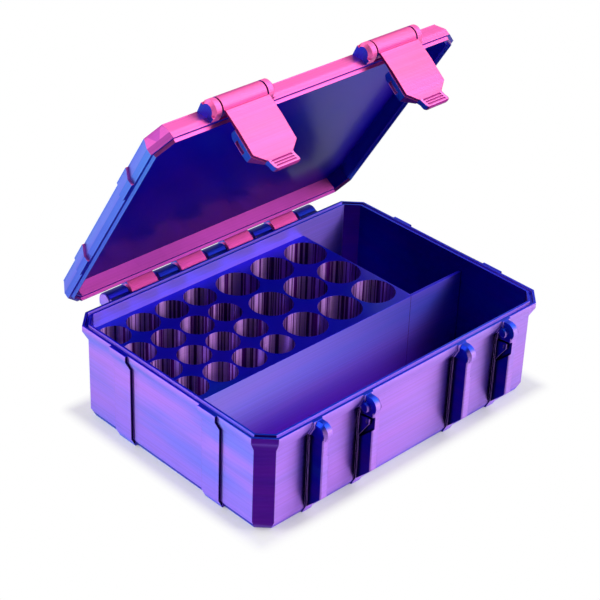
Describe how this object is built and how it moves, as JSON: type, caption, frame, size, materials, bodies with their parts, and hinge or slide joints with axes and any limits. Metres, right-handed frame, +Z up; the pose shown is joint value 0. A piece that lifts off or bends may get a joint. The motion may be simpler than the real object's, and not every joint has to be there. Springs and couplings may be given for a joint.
{
  "type": "vial case",
  "caption": "Printed eight-sided case with a hinged lid, swinging front latches, a rack of round wells for vials, a long front trough and a side compartment.",
  "frame": {"origin": "middle of the case's footprint, on the surface that it stands on", "axes": "+X to the right along the front, +Y from the front to the hinge, +Z up"},
  "size_m": [0.212, 0.1719, 0.2001],
  "materials": {
    "case_print": "silk, two-colour filament, violet to blue",
    "rack_print": "silk, two-colour filament, deep blue",
    "lid_print": "silk, two-colour filament, pink to blue",
    "latch_print": "silk, two-colour filament, pink to blue",
    "pin_print": "silk, two-colour filament, violet"
  },
  "bodies": {
    "case": {"case_shell": "case_print", "vial_rack": "rack_print", "divider_panel": "rack_print", "hinge_pin": "pin_print", "catch_stud_1": "case_print", "catch_stud_2": "case_print", "catch_stud_3": "case_print", "catch_stud_4": "case_print", "detent_wedge_1": "case_print", "detent_wedge_2": "case_print", "detent_wedge_3": "case_print", "detent_wedge_4": "case_print"},
    "lid": {"lid_shell": "lid_print", "latch_pin_left": "pin_print", "latch_pin_right": "pin_print"},
    "left_latch": {"latch_left": "latch_print"},
    "right_latch": {"latch_right": "latch_print"}
  },
  "joints": [
    {"name": "lid_hinge", "type": "hinge", "parent": "case", "child": "lid", "pos_m": [0, 0.0813, 0.0545], "axis": [1, 0, 0], "range_deg": [-122, 57.9]},
    {"name": "left_latch_pivot", "type": "hinge", "parent": "lid", "child": "left_latch", "pos_m": [-0.0522, 0.00457, 0.19489], "axis": [1, 0, 0], "range_deg": [-190, 0]},
    {"name": "right_latch_pivot", "type": "hinge", "parent": "lid", "child": "right_latch", "pos_m": [0.0522, 0.00457, 0.19489], "axis": [1, 0, 0], "range_deg": [-190, 0]}
  ]
}
